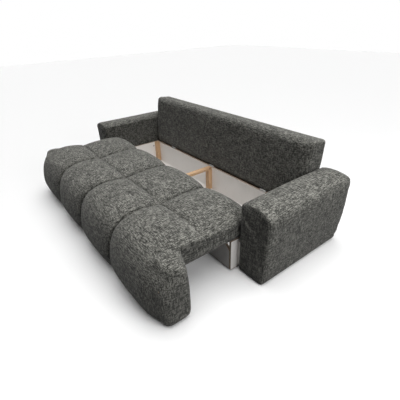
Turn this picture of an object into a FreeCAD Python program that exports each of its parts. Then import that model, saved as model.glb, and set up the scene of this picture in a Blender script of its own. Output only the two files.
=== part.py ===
import FreeCAD, Part
import math
import os

# Sofa bed with a pull-out tufted seat, a bedding box and a folding backrest.
# Millimetres. X to the right, Y to the back, Z up.
# The seat is pulled out and the backrest stands up, leaning on its stops.
# Origin: middle of the footprint, on the floor.

V = FreeCAD.Vector
os.makedirs("parts", exist_ok=True)

# Overall places
ARM_GAP = 2000.0            # clear width between the two arms
ARM_DEPTH = 837.0           # arm, front to back
ROLL_REACH = 693.0          # front of the pulled-out seat, ahead of the arms
ARM_FRONT = (ROLL_REACH - ARM_DEPTH) / 2
FACE_GAP = 0.3              # play between pieces of different bodies

# Arms
ARM_BASE_WIDTH = 203.0
ARM_WIDTH = 228.0
ARM_HEIGHT = 533.0
ARM_CLEAR = 5.0             # cover's lower edge above the floor
ARM_INNER_DROP = 49.0       # from the crown to where the straight inner face ends
ARM_OUTER_DROP = 75.0       # from the crown to where the outer face ends
ARM_CREST = 118.0           # highest line of the crown, from the inner face
ARM_SHOULDER = 28.0         # width of the rounding over the inner face
ARM_SHOULDER_DROP = 17.0
ARM_BROW = 32.0             # width of the rounding over the outer face
ARM_BROW_DROP = 20.0
ARM_REAR_FALL = 84.0        # where the top starts to fall, ahead of the rear
ARM_REAR_SLOPE = 38.0       # ahead of the rear, where the fall ends
ARM_REAR_FOOT = 786.0       # depth of the cover at the floor
ARM_REAR_ROUND = 72.0       # rounding of the rear outer edge, seen from above
ARM_ROUND_MARGIN = 2.5      # the rounding's outline, outside the cover's faces
ARM_EDGE_ROUND = 9.0
ARM_PAD = 25.0              # padding on the inner, front and rear faces
ARM_TOP_PAD = 72.0
ARM_OUTER_PAD = 36.0
ARM_FRAME_DEPTH = 745.0     # rear end of the frame, from the arm's front
ARM_PANEL = 16.0
ARM_BOARD = 22.0
ARM_GLIDE = 20.0            # height of the arm's glides
ARM_GLIDE_RADIUS = 21.0
ARM_GLIDE_INSET = 70.0

# Bedding box
BOARD = 17.0                # laminated board
RIM = 238.0                 # upper edge of the box
ARM_SPACER = 18.0           # batten between the box and the arm
BOX_FRONT = -52.0           # front face, from the arm's front face
BOX_REAR = 598.7            # rear face, from the arm's front face
BOX_BOTTOM = 12.0
BOX_BOTTOM_SHEET = 3.2
BOX_GLIDE_RADIUS = 16.0
FRONT_CUT_WIDTH = 108.0     # sloped corner of the front board
FRONT_CUT_HEIGHT = 72.0
FRONT_CUT_ROUND = 22.0      # length of the rounding where the slope starts
POST_WIDTH = 45.0
POST_DEPTH = 40.0
RAIL_HEIGHT = 22.0
SPACER_TOP = 215.0
SPACER_REAR = 560.0

# Plinth behind the box
PLINTH_REAR = 753.0         # rear face, from the arm's front face
PLINTH_TOP = 212.0
PLINTH_BOARD = 16.0
RIB_COUNT = 4
STOP_LENGTH = 80.0

# Backrest
BACK_LEAN = 6.0             # degrees
BACK_LENGTH = 479.0         # from the hinge axis to the upper edge
BACK_FOLD_GAP = 4.7         # folded: from the seat's rear edge to the backrest
BACK_THICK = 158.0
BACK_SIDE_PLAY = 4.0        # play to each arm
BACK_ROUND = 34.0           # front upper edge
BACK_REAR_ROUND = 10.0      # rear upper edge
BACK_END_TOP = 0.5          # how much of the ends' draw-in the upper edge takes
BACK_END_REAR = 0.3         # and the rear face
BACK_FOOT_ROUND = 14.0      # lower edges
BACK_CROWN = 4.0            # swell of the large faces
BACK_PAD = 28.0
BACK_RAIL = 22.0

# Hinges between the box and the backrest
KNUCKLE_RADIUS = 4.5
HINGE_LENGTH = 60.0
HINGE_SPACING = 650.0
LEAF = 2.0
LEAF_WIDTH = 40.0
PIN_RADIUS = 2.0
PIN_PLAY = 0.06

# Seat
SEAT_PLAY = 8.0             # play to each arm
FRONT_ROW = 421.0           # front row, from the roll's front to the middle seam
COLUMN_SEAM = 518.0         # outer column seams, from the middle
SEAM_HEIGHT = 394.0
TUFT_RISE = 33.0            # crown of a tuft above its seams
SEAM_ARCH = 13.0            # rise of the cross seams in mid tuft
SEAT_UNDER = 262.0          # underside of the seat
SEAT_SKIRT = 18.0           # padding over the frame's outer sides
FRAME_HEIGHT = 42.0
FRAME_THICK = 22.0
LINING = 1.0
GLIDE_LENGTH = 66.0
GLIDE_WIDTH = 20.0

SEAM_CROWN = 16.0           # rise of a column seam between the rows and the brow
SEAM_BROW = 4.0             # its height over the crosses where it starts to fall
REAR_FALL = 42.0            # width of the rear edge's rounding
REAR_BULGE = 45.0           # height of the widest place of the rear edge

# Front roll
ROLL_DEPTH = 243.0          # front to back, at its free ends
ROLL_OVERHANG = 110.0       # roll beyond the clear width, each side
ROLL_PARK = 10.0            # pushed in: from the roll's ends to the arms
ROLL_BOX_PARK = 5.0         # pushed in: from the roll's recess to the box
ROLL_BOTTOM = 10.0
ROLL_FRONT_PAD = 40.0
ROLL_REAR_PAD = 26.0
ROLL_PUFF = 26.0            # swell of the roll's front between seams
ROLL_BROW = 115.0           # from the roll's face to where its top starts to fall
BROW_SET = 36.0
BROW_DROP = 72.0
FACE_SET = 8.0              # where the face starts, behind its foremost line
FACE_DROP = 160.0
BELLY_DROP = 240.0          # foremost line, below the seams
FOOT_SET = 22.0
END_BROW_SET = 48.0         # the same outline at the roll's free ends
END_BROW_DROP = 36.0
END_FOOT_SET = 26.0
END_REAR_TOP = 60.0
END_REAR_FOOT = 45.0
END_SET = 10.0              # set-back of the ends from the row
END_CREST = 35.0
END_DRAW_FRONT = 1.1        # how much of the ends' draw-in each side takes
END_DRAW_REAR = 0.3
END_DRAW_TOP = 2.0
END_DRAW_FOOT = 0.15
ROLL_BOARD = 16.0
ROLL_BASE = 58.0            # underside of the roll's base board

# Castors under the roll
WHEEL_RADIUS = 24.0
WHEEL_WIDTH = 22.0
AXLE_RADIUS = 4.0
AXLE_PLAY = 0.06
FORK_SHEET = 2.5
WHEEL_SIDE_PLAY = 1.2
WHEEL_EDGE = 3.0            # rounding of the tread's edges
WHEEL_DISH = 4.0
WHEEL_HUB = 6.0
FORK_PLATE_HALF = 30.0
FORK_PLATE_DEPTH = 24.0
FORK_TOP = 18.0             # half width of a cheek under the plate
FORK_TIP = 9.0              # half width of a cheek round the axle
AXLE_HEAD = 2.0
CASTOR_SPACING = 520.0
CASTOR_COUNT = 4

# Fasteners
BOLT_RADIUS = 4.0
BOLT_HEAD = 9.0
BOLT_HEAD_HEIGHT = 3.0
BOLT_HEIGHT = 194.0
BOLT_REAR = 525.0
BOLT_FRONT = 60.0
NUT_RADIUS = 8.0
NUT_HEIGHT = 7.0
SCREW_RADIUS = 2.0
SCREW_HEAD = 4.0
SCREW_HEAD_HEIGHT = 2.0
SCREW_LENGTH = 30.0
RAIL_SCREW_SET = 115.0      # ahead of the box's rear face

# Springs under the seat's padding
SPRING_WIRE = 3.8
SPRING_SWING = 46.0         # width of the zigzag
SPRING_PITCH = 44.0

# Worked out from the sizes above
ARM_INNER_EDGE = ARM_HEIGHT - ARM_INNER_DROP
ARM_OUTER_EDGE = ARM_HEIGHT - ARM_OUTER_DROP
HALF_GAP = ARM_GAP / 2
BOX_OUT = HALF_GAP - ARM_SPACER
BOX_IN = BOX_OUT - BOARD
BOX_FLOOR = BOX_BOTTOM + BOX_BOTTOM_SHEET
HINGE_Y = BOX_REAR
HINGE_Z = RIM + KNUCKLE_RADIUS
SEAT_TRAVEL = ROLL_REACH - ROLL_DEPTH - ROLL_PARK
SEAT_REAR = BOX_REAR - BACK_LENGTH - BACK_FOLD_GAP
MID_SEAM = -ROLL_REACH + FRONT_ROW
SEAT_HALF = HALF_GAP - SEAT_PLAY
FRAME_HALF = SEAT_HALF - SEAT_SKIRT
FRAME_TOP = SEAT_UNDER + FRAME_HEIGHT
FRAME_REAR = SEAT_REAR - SEAT_SKIRT
ROLL_HALF = HALF_GAP + ROLL_OVERHANG
ROLL_REAR = -SEAT_TRAVEL - ROLL_PARK
ROLL_RECESS = BOX_FRONT - SEAT_TRAVEL - ROLL_BOX_PARK
ROLL_CORE_FRONT = -ROLL_REACH + ROLL_PUFF + ROLL_FRONT_PAD
ROLL_CORE_REAR = ROLL_RECESS - ROLL_REAR_PAD
ROLL_CORE_HALF = ROLL_HALF - ROLL_FRONT_PAD


def box(x0, x1, y0, y1, z0, z1):
    """A board between two corners. Y counts from the arm's front face."""
    return Part.makeBox(x1 - x0, y1 - y0, z1 - z0, V(x0, y0 + ARM_FRONT, z0))


def rod(x, y, z, radius, length, axis):
    """A round bar that starts at a point and runs along an axis."""
    return Part.makeCylinder(radius, length, V(x, y + ARM_FRONT, z), axis)


def mirrored(shape):
    return shape.mirror(V(0, 0, 0), V(1, 0, 0))


def sides(maker):
    """Left and right copy of a piece that is drawn on the right."""
    right = maker()
    return {"left": mirrored(right), "right": right}


def save(name, *solids):
    shape = solids[0] if len(solids) == 1 else Part.makeCompound(list(solids))
    shape.exportStep("parts/" + name + ".step")


def outline(points):
    """A closed wire. A pair of points joined by a third one is an arc."""
    edges = []
    start = points[0]
    index = 1
    while index < len(points):
        point = points[index]
        if isinstance(point, tuple):
            edges.append(Part.Arc(start, point[0], point[1]).toShape())
            start = point[1]
        else:
            edges.append(Part.LineSegment(start, point).toShape())
            start = point
        index += 1
    return Part.Wire(edges)


def rounded(corner, before, after, reach):
    """Start, middle and end of the arc that rounds a corner between two points."""
    back = (before - corner).normalize()
    ahead = (after - corner).normalize()
    half = back.getAngle(ahead) / 2
    inward = (back + ahead).normalize()
    radius = reach * math.tan(half)
    middle = corner + inward * (radius / math.sin(half) - radius)
    return corner + back * reach, middle, corner + ahead * reach


def prism(points, along):
    return Part.Face(outline(points)).extrude(along)


# Arms

def arm_body():
    """Right arm's outer form: a front outline cut by a side outline."""
    foot = ARM_CLEAR
    inner = HALF_GAP
    past = ARM_PAD

    def at(x, z):
        return V(inner + x, ARM_FRONT, z)

    front = [
        at(0, foot),
        at(0, ARM_INNER_EDGE),
        (at(ARM_SHOULDER * 0.25, ARM_INNER_EDGE + ARM_INNER_DROP * 0.43),
         at(ARM_SHOULDER, ARM_HEIGHT - ARM_SHOULDER_DROP)),
        (at(ARM_CREST, ARM_HEIGHT), at(ARM_WIDTH - ARM_BROW, ARM_HEIGHT - ARM_BROW_DROP)),
        (at(ARM_WIDTH - ARM_BROW * 0.22, ARM_HEIGHT - ARM_BROW_DROP * 2),
         at(ARM_WIDTH, ARM_OUTER_EDGE)),
        (at(ARM_WIDTH - (ARM_WIDTH - ARM_BASE_WIDTH) * 0.24, ARM_HEIGHT * 0.46), at(ARM_BASE_WIDTH, foot)),
        at(0, foot),
    ]
    across = prism(front, V(0, ARM_DEPTH + past, 0))

    def on(y, z):
        return V(inner - past, y + ARM_FRONT, z)

    side = [
        on(0, 0),
        on(0, ARM_HEIGHT + past),
        on(ARM_DEPTH - ARM_REAR_FALL, ARM_HEIGHT + past),
        on(ARM_DEPTH - ARM_REAR_FALL, ARM_HEIGHT),
        (on(ARM_DEPTH - ARM_REAR_FALL * 0.53, ARM_HEIGHT - ARM_SHOULDER_DROP),
         on(ARM_DEPTH - ARM_REAR_SLOPE, ARM_INNER_EDGE)),
        (on(ARM_DEPTH - ARM_REAR_SLOPE * 0.24, ARM_HEIGHT * 0.79),
         on(ARM_DEPTH, ARM_HEIGHT * 0.6)),
        (on(ARM_DEPTH - ARM_REAR_SLOPE * 0.6, ARM_HEIGHT * 0.31), on(ARM_REAR_FOOT, 0)),
        on(0, 0),
    ]
    along = prism(side, V(ARM_WIDTH + 2 * past, 0, 0))

    def plan(x, y):
        return V(inner + x, y + ARM_FRONT, 0)

    wide = ARM_WIDTH + ARM_ROUND_MARGIN
    deep = ARM_DEPTH + ARM_ROUND_MARGIN
    begin, middle, end = rounded(plan(wide, deep), plan(wide, 0), plan(0, deep), ARM_REAR_ROUND)
    above = [plan(-past, -past), plan(wide, -past), begin, (middle, end),
             plan(-past, deep), plan(-past, -past)]
    upright = prism(above, V(0, 0, ARM_HEIGHT + past))
    form = across.common(along).common(upright).Solids[0]
    edges = [e for e in form.Edges if front_edge(e)]
    return form.makeFillet(ARM_EDGE_ROUND, edges)


def front_edge(edge):
    """Edges of the arm's front face, apart from the one at the floor."""
    box_ = edge.BoundBox
    flat = box_.YLength < 0.01 and abs(box_.YMin - ARM_FRONT) < 0.01
    return flat and box_.ZMax > ARM_CLEAR + 1


def arm_cavity():
    inner = HALF_GAP + ARM_PAD
    top = ARM_HEIGHT - ARM_TOP_PAD
    outer = HALF_GAP + ARM_BASE_WIDTH - ARM_OUTER_PAD
    shape = box(inner, outer, ARM_PAD + 5, ARM_FRAME_DEPTH, 0, top)
    for y in (BOLT_FRONT, BOLT_REAR):
        bar = rod(HALF_GAP - 1, y, BOLT_HEIGHT, BOLT_RADIUS, ARM_PAD + 2, V(1, 0, 0))
        shape = shape.fuse(bar)
    return shape


def arm_inner_panel():
    x = HALF_GAP + ARM_PAD
    top = ARM_HEIGHT - ARM_TOP_PAD
    shape = box(x, x + ARM_PANEL, ARM_PAD + 5, ARM_FRAME_DEPTH, ARM_GLIDE, top)
    for y in (BOLT_FRONT, BOLT_REAR):
        bar = rod(x - 1, y, BOLT_HEIGHT, BOLT_RADIUS, ARM_PANEL + 2, V(1, 0, 0))
        shape = shape.cut(bar)
    return shape


def arm_board(place):
    """Front board, rear board, top rail or base board of the arm's frame."""
    x0 = HALF_GAP + ARM_PAD + ARM_PANEL
    x1 = HALF_GAP + ARM_BASE_WIDTH - ARM_OUTER_PAD
    y0 = ARM_PAD + 5
    y1 = ARM_FRAME_DEPTH
    top = ARM_HEIGHT - ARM_TOP_PAD
    if place == "front_board":
        return box(x0, x1, y0, y0 + ARM_BOARD, ARM_GLIDE, top)
    if place == "rear_board":
        return box(x0, x1, y1 - ARM_BOARD, y1, ARM_GLIDE, top)
    y0 = y0 + ARM_BOARD
    y1 = y1 - ARM_BOARD
    if place == "top_rail":
        return box(x0, x1, y0, y1, top - ARM_BOARD, top)
    return box(x0, x1, y0, y1, ARM_GLIDE, ARM_GLIDE + ARM_BOARD)


def arm_glides():
    x = HALF_GAP + (ARM_PAD + ARM_PANEL + ARM_BASE_WIDTH - ARM_OUTER_PAD) / 2
    inset = ARM_GLIDE_INSET + ARM_GLIDE_RADIUS
    places = (inset, ARM_FRAME_DEPTH - inset)
    return [Part.makeCone(ARM_GLIDE_RADIUS - 4, ARM_GLIDE_RADIUS, ARM_GLIDE,
                          V(x, y + ARM_FRONT, 0)) for y in places]


# Bedding box

def box_side():
    shape = box(BOX_IN, BOX_OUT, BOX_FRONT, BOX_REAR - BOARD, BOX_FLOOR, RIM)
    for y in (BOLT_FRONT, BOLT_REAR):
        bar = rod(BOX_IN - 1, y, BOLT_HEIGHT, BOLT_RADIUS, BOARD + 2, V(1, 0, 0))
        shape = shape.cut(bar)
    return shape


def box_front_board():
    """Front board between the sides, its upper corners cut on the slope."""
    low = RIM - FRONT_CUT_HEIGHT

    def at(x, z):
        return V(x, BOX_FRONT + ARM_FRONT, z)

    top = at(BOX_IN - FRONT_CUT_WIDTH, RIM)
    foot = at(BOX_IN, BOX_FLOOR)
    begin, middle, end = rounded(at(BOX_IN, low), foot, top, FRONT_CUT_ROUND)
    right = [at(0, BOX_FLOOR), foot, begin, (middle, end), top, at(0, RIM),
             at(0, BOX_FLOOR)]
    half_board = prism(right, V(0, BOARD, 0))
    return half_board.fuse(mirrored(half_board)).removeSplitter()


def box_rear_board():
    return box(-BOX_OUT, BOX_OUT, BOX_REAR - BOARD, BOX_REAR, BOX_FLOOR, RIM)


def box_bottom():
    return box(-BOX_OUT, BOX_OUT, BOX_FRONT, BOX_REAR, BOX_BOTTOM, BOX_FLOOR)


def corner_post(rear):
    x0 = BOX_IN - POST_WIDTH
    y0 = BOX_FRONT + BOARD
    top = RIM - FRONT_CUT_HEIGHT - 20
    if rear:
        y0 = BOX_REAR - BOARD - POST_DEPTH
        top = RIM
    return box(x0, BOX_IN, y0, y0 + POST_DEPTH, BOX_FLOOR, top)


def centre_post(rear):
    y0 = BOX_REAR - BOARD - POST_DEPTH if rear else BOX_FRONT + BOARD
    half = POST_WIDTH / 2
    return box(-half, half, y0, y0 + POST_DEPTH, BOX_FLOOR, RIM - RAIL_HEIGHT)


def centre_rail():
    half = POST_WIDTH / 2
    y1 = BOX_REAR - BOARD
    rail = box(-half, half, BOX_FRONT + BOARD, y1, RIM - RAIL_HEIGHT, RIM)
    return rail.cut(rail_screw_hole())


def rail_screw_hole():
    start = V(1, 0, 0)
    depth = SCREW_LENGTH + 1
    return rod(POST_WIDTH / 2 - depth, BOX_REAR - RAIL_SCREW_SET, RIM - RAIL_HEIGHT / 2,
               SCREW_RADIUS, depth + 1, start)


def rail_screw():
    x = POST_WIDTH / 2
    y = BOX_REAR - RAIL_SCREW_SET
    z = RIM - RAIL_HEIGHT / 2
    shank = rod(x - SCREW_LENGTH, y, z, SCREW_RADIUS, SCREW_LENGTH, V(1, 0, 0))
    head = Part.makeCone(SCREW_HEAD, SCREW_HEAD * 0.6, SCREW_HEAD_HEIGHT,
                         V(x, y + ARM_FRONT, z), V(1, 0, 0))
    return shank.fuse(head)


def box_glides():
    reach = BOX_OUT - 2 * BOX_GLIDE_RADIUS
    solids = []
    for x in (-reach, 0, reach):
        for y in (BOX_FRONT + 2 * BOX_GLIDE_RADIUS, BOX_REAR - 2 * BOX_GLIDE_RADIUS):
            solids.append(rod(x, y, 0, BOX_GLIDE_RADIUS, BOX_BOTTOM, V(0, 0, 1)))
    return solids


def arm_spacer():
    shape = box(BOX_OUT, HALF_GAP, ARM_EDGE_ROUND + 5, SPACER_REAR, 30, SPACER_TOP)
    for y in (BOLT_FRONT, BOLT_REAR):
        bar = rod(BOX_OUT - 1, y, BOLT_HEIGHT, BOLT_RADIUS, ARM_SPACER + 2, V(1, 0, 0))
        shape = shape.cut(bar)
    return shape


def arm_bolt(y):
    length = BOARD + ARM_SPACER + ARM_PAD + ARM_PANEL + NUT_HEIGHT + 6
    shank = rod(BOX_IN, y, BOLT_HEIGHT, BOLT_RADIUS, length, V(1, 0, 0))
    head = Part.makeCone(BOLT_HEAD * 0.6, BOLT_HEAD, BOLT_HEAD_HEIGHT,
                         V(BOX_IN - BOLT_HEAD_HEIGHT, y + ARM_FRONT, BOLT_HEIGHT),
                         V(1, 0, 0))
    return shank.fuse(head)


def arm_nut(y):
    """Hexagon nut behind the arm's inner panel."""
    x = HALF_GAP + ARM_PAD + ARM_PANEL
    corners = []
    for k in range(7):
        turn = math.radians(60 * k)
        corners.append(V(x, y + ARM_FRONT + NUT_RADIUS * math.cos(turn),
                         BOLT_HEIGHT + NUT_RADIUS * math.sin(turn)))
    nut = Part.Face(Part.makePolygon(corners)).extrude(V(NUT_HEIGHT, 0, 0))
    return nut.cut(rod(x - 1, y, BOLT_HEIGHT, BOLT_RADIUS, NUT_HEIGHT + 2, V(1, 0, 0)))


# Plinth behind the box

def plinth_back_board():
    return box(-BOX_OUT, BOX_OUT, PLINTH_REAR - PLINTH_BOARD, PLINTH_REAR,
               BOX_BOTTOM, PLINTH_TOP)


def rib_places():
    """Left face of each rib, spread evenly along the plinth."""
    span = 2 * BOX_OUT - BOARD
    return [-BOX_OUT + span * k / (RIB_COUNT - 1) for k in range(RIB_COUNT)]


def plinth_ribs():
    return [box(x, x + BOARD, BOX_REAR, PLINTH_REAR - PLINTH_BOARD,
                BOX_BOTTOM, PLINTH_TOP) for x in rib_places()]


def back_at(s, t):
    """Point of the raised backrest: s up the slab, t through it."""
    lean = math.radians(BACK_LEAN)
    y = HINGE_Y + s * math.sin(lean) + t * math.cos(lean)
    z = HINGE_Z + s * math.cos(lean) - t * math.sin(lean)
    return y + ARM_FRONT, z


def back_stops():
    """Blocks on the ribs, their tops sloped to the backrest's underside."""
    near = BACK_THICK - STOP_LENGTH - 25
    solids = []
    for x in rib_places():
        y0, z0 = back_at(KNUCKLE_RADIUS - FACE_GAP, near)
        y1, z1 = back_at(KNUCKLE_RADIUS - FACE_GAP, near + STOP_LENGTH)
        wide = 2 * BOARD
        x0 = min(max(x - BOARD / 2, -BOX_OUT), BOX_OUT - wide)
        corners = [V(x0, y0, PLINTH_TOP), V(x0, y1, PLINTH_TOP), V(x0, y1, z1),
                   V(x0, y0, z0), V(x0, y0, PLINTH_TOP)]
        solids.append(Part.Face(Part.makePolygon(corners)).extrude(V(wide, 0, 0)))
    return solids


# Backrest

def back_section(x, inset):
    """Slab section: swelling faces, rounded edges, drawn in at the ends."""
    s0 = KNUCKLE_RADIUS + inset * 0.4
    s1 = BACK_LENGTH - inset * BACK_END_TOP
    t0 = BACK_CROWN + inset
    t1 = BACK_THICK - BACK_CROWN - inset * BACK_END_REAR
    top = BACK_ROUND
    rear = BACK_REAR_ROUND
    foot = BACK_FOOT_ROUND
    cut = 1 - math.sqrt(0.5)
    mid = (s0 + s1) / 2
    swell = BACK_CROWN

    def at(s, t):
        y, z = back_at(s, t)
        return V(x, y, z)

    return outline([
        at(s0, t0 + foot),
        at(s0, t1 - foot),
        (at(s0 + foot * cut, t1 - foot * cut), at(s0 + foot, t1)),
        (at(mid, t1 + swell), at(s1 - rear, t1)),
        (at(s1 - rear * cut, t1 - rear * cut), at(s1, t1 - rear)),
        at(s1, t0 + top),
        (at(s1 - top * cut, t0 + top * cut), at(s1 - top, t0)),
        (at(mid, t0 - swell), at(s0 + foot, t0)),
        (at(s0 + foot * cut, t0 + foot * cut), at(s0, t0 + foot)),
    ])


def back_box(x0, x1, s0, s1, t0, t1):
    """A board inside the slab, square to it."""
    corners = []
    for s, t in ((s0, t0), (s0, t1), (s1, t1), (s1, t0), (s0, t0)):
        y, z = back_at(s, t)
        corners.append(V(x0, y, z))
    return Part.Face(Part.makePolygon(corners)).extrude(V(x1 - x0, 0, 0))


def back_pad():
    half = HALF_GAP - BACK_SIDE_PLAY
    steps = ((half, 24.0), (half - 3, 13.0), (half - 10, 5.0), (half - 26, 0.0))
    places = [(-x, inset) for x, inset in steps]
    places += [(x, inset) for x, inset in reversed(steps)]
    pad = Part.makeLoft([back_section(x, i) for x, i in places], True, True)
    wide = half - BACK_PAD
    core = back_box(-wide, wide, 0, BACK_LENGTH - BACK_PAD,
                    BACK_PAD, BACK_THICK - BACK_PAD)
    foot = back_box(-wide, wide, 0, KNUCKLE_RADIUS + BACK_RAIL,
                    BACK_FOOT_ROUND, BACK_THICK - BACK_FOOT_ROUND)
    return pad.cut(core).cut(foot)


def back_bottom_rail():
    wide = HALF_GAP - BACK_SIDE_PLAY - BACK_PAD
    return back_box(-wide, wide, KNUCKLE_RADIUS, KNUCKLE_RADIUS + BACK_RAIL,
                    BACK_FOOT_ROUND, BACK_THICK - BACK_FOOT_ROUND)


def back_top_rail():
    wide = HALF_GAP - BACK_SIDE_PLAY - BACK_PAD
    s1 = BACK_LENGTH - BACK_PAD
    return back_box(-wide, wide, s1 - BACK_RAIL, s1, BACK_PAD, BACK_THICK - BACK_PAD)


def back_stiles():
    wide = HALF_GAP - BACK_SIDE_PLAY - BACK_PAD
    s0 = KNUCKLE_RADIUS + BACK_RAIL
    s1 = BACK_LENGTH - BACK_PAD - BACK_RAIL
    span = 2 * wide - BACK_RAIL
    starts = [-wide + span * k / 4 for k in range(5)]
    return [back_box(x, x + BACK_RAIL, s0, s1, BACK_PAD, BACK_THICK - BACK_PAD)
            for x in starts]


# Hinges

def hinge_places():
    return [-HINGE_SPACING, 0.0, HINGE_SPACING]


def knuckle(x0, x1):
    tube = rod(x0, HINGE_Y, HINGE_Z, KNUCKLE_RADIUS, x1 - x0, V(1, 0, 0))
    hole = rod(x0 - 1, HINGE_Y, HINGE_Z, PIN_RADIUS + PIN_PLAY, x1 - x0 + 2, V(1, 0, 0))
    return tube, hole


def box_leaf(x):
    """Leaf on the rear board's upper edge, with the two outer knuckles."""
    third = HINGE_LENGTH / 6
    end = HINGE_LENGTH / 2
    leaf = box(x - end, x + end, BOX_REAR - BOARD, BOX_REAR, RIM, RIM + LEAF)
    gap = box(x - third - FACE_GAP, x + third + FACE_GAP,
              BOX_REAR - KNUCKLE_RADIUS - 1, BOX_REAR + 1, RIM - 1, RIM + LEAF + 1)
    leaf = leaf.cut(gap)
    for x0, x1 in ((x - end, x - third), (x + third, x + end)):
        tube, hole = knuckle(x0, x1)
        leaf = leaf.fuse(tube).cut(hole)
    return leaf.cut(screw_bores(x, "box"))


def back_leaf(x):
    """Leaf under the backrest's bottom rail, with the middle knuckle."""
    third = HINGE_LENGTH / 6 - FACE_GAP
    end = HINGE_LENGTH / 2
    top = KNUCKLE_RADIUS
    leaf = back_box(x - end, x + end, top - LEAF, top, KNUCKLE_RADIUS + 1, LEAF_WIDTH)
    tongue = back_box(x - third, x + third, top - LEAF, top, 0, LEAF_WIDTH)
    tube, hole = knuckle(x - third, x + third)
    leaf = leaf.fuse(tongue).fuse(tube).cut(hole)
    return leaf.cut(screw_bores(x, "back"))


def hinge_screw(x, side, whole):
    """One screw of a hinge leaf, or the plain bar that clears it."""
    if side == "box":
        base = V(x, BOX_REAR - BOARD / 2 - 2 + ARM_FRONT, RIM + LEAF)
        down = V(0, 0, -1)
    else:
        y, z = back_at(KNUCKLE_RADIUS - LEAF, LEAF_WIDTH - 10)
        base = V(x, y, z)
        y2, z2 = back_at(KNUCKLE_RADIUS, LEAF_WIDTH - 10)
        down = V(0, y2 - y, z2 - z)
    down.normalize()
    if not whole:
        return Part.makeCylinder(SCREW_RADIUS, SCREW_LENGTH, base, down)
    shank = Part.makeCylinder(SCREW_RADIUS, BACK_RAIL * 0.8, base, down)
    head = Part.makeCone(SCREW_HEAD, SCREW_HEAD * 0.7, SCREW_HEAD_HEIGHT * 0.6,
                         base, down * -1)
    return shank.fuse(head)


def screw_bores(x, side):
    reach = HINGE_LENGTH / 2 - 8
    return Part.makeCompound([hinge_screw(x + d, side, False) for d in (-reach, reach)])


def hinge_screws(side):
    reach = HINGE_LENGTH / 2 - 8
    return [hinge_screw(x + d, side, True)
            for x in hinge_places() for d in (-reach, reach)]


def all_bores(side):
    return Part.makeCompound([screw_bores(x, side) for x in hinge_places()])


def hinge_pin(x):
    end = HINGE_LENGTH / 2
    pin = rod(x - end - 1, HINGE_Y, HINGE_Z, PIN_RADIUS, HINGE_LENGTH + 2, V(1, 0, 0))
    for x0 in (x - end - 2, x + end):
        pin = pin.fuse(rod(x0, HINGE_Y, HINGE_Z, PIN_RADIUS + 1, 2, V(1, 0, 0)))
    return pin


# Seat padding

def rear_section(x, puff, side_drop):
    """Rear tuft across the seat's depth. The puff runs from 0 to 1."""
    mid = MID_SEAM
    rear = SEAT_REAR - 1
    top = SEAM_HEIGHT - side_drop
    seam = top + SEAM_ARCH * puff
    crown = top + TUFT_RISE * puff + SEAM_BROW * (1 - puff)
    bend = rear - REAR_FALL

    def at(y, z):
        return V(x, y + ARM_FRONT, z)

    return outline([
        at(mid, SEAT_UNDER),
        at(rear - REAR_FALL * 0.12, SEAT_UNDER),
        (at(rear, SEAT_UNDER + REAR_BULGE),
         at(rear - REAR_FALL * 0.15, top - REAR_BULGE * 0.9)),
        (at(rear - REAR_FALL * 0.4, top - REAR_FALL * (0.19 - 0.1 * puff)),
         at(bend, top + TUFT_RISE * 0.24 * puff)),
        (at((mid + bend) / 2, crown), at(mid, seam)),
        at(mid, SEAT_UNDER),
    ])


def front_section(x, puff, side_drop):
    """Front tuft: over the top, round the roll and down to the floor."""
    mid = MID_SEAM
    top = SEAM_HEIGHT - side_drop
    seam = top + SEAM_ARCH * puff
    out = ROLL_PUFF * puff
    high = TUFT_RISE * puff
    face = -ROLL_REACH + ROLL_PUFF
    brow = face + ROLL_BROW

    def at(y, z):
        return V(x, y + ARM_FRONT, z)

    return outline([
        at(mid, SEAT_UNDER),
        at(mid, seam),
        (at((mid + brow) / 2, SEAM_HEIGHT + SEAM_CROWN + high * 0.75 - side_drop * 0.6),
         at(brow, SEAM_HEIGHT + SEAM_BROW + high * 0.7)),
        (at(face + BROW_SET - out * 0.75, SEAM_HEIGHT - BROW_DROP + high * 0.55),
         at(face + FACE_SET - out, SEAM_HEIGHT - FACE_DROP)),
        (at(face - out, SEAM_HEIGHT - BELLY_DROP),
         at(face + FOOT_SET - out * 0.5, ROLL_BOTTOM)),
        at(ROLL_CORE_REAR, ROLL_BOTTOM),
        at(ROLL_CORE_REAR, SEAT_UNDER),
        at(mid, SEAT_UNDER),
    ])


def end_section(x, inset):
    """Section of the roll's free end, drawn in towards its tip."""
    face = -ROLL_REACH + ROLL_PUFF + END_SET + inset * END_DRAW_FRONT
    rear = ROLL_REAR - inset * END_DRAW_REAR
    top = SEAM_HEIGHT + 2 * SEAM_BROW - inset * END_DRAW_TOP
    foot = ROLL_BOTTOM + inset * END_DRAW_FOOT
    mid = (face + rear) / 2

    def at(y, z):
        return V(x, y + ARM_FRONT, z)

    return outline([
        at(rear, foot + END_REAR_FOOT),
        at(rear, top - END_REAR_TOP),
        (at(rear - END_REAR_TOP * 0.27, top - END_REAR_TOP * 0.3), at(mid + END_CREST, top)),
        (at(face + END_BROW_SET, top - END_BROW_DROP), at(face + FACE_SET, top - FACE_DROP)),
        (at(face, top - BELLY_DROP), at(face + END_FOOT_SET, foot)),
        at(rear - END_REAR_FOOT, foot),
        (at(rear - END_REAR_FOOT * 0.27, foot + END_REAR_FOOT * 0.27),
         at(rear, foot + END_REAR_FOOT)),
    ])


def tuft_steps(x0, x1):
    """Places and puffs of the sections between two seams."""
    wide = x1 - x0
    shares = ((0.0, 0.0), (0.05, 0.42), (0.2, 0.84), (0.5, 1.0),
              (0.8, 0.84), (0.95, 0.42), (1.0, 0.0))
    return [(x0 + wide * a, puff, 0.0) for a, puff in shares]


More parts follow.
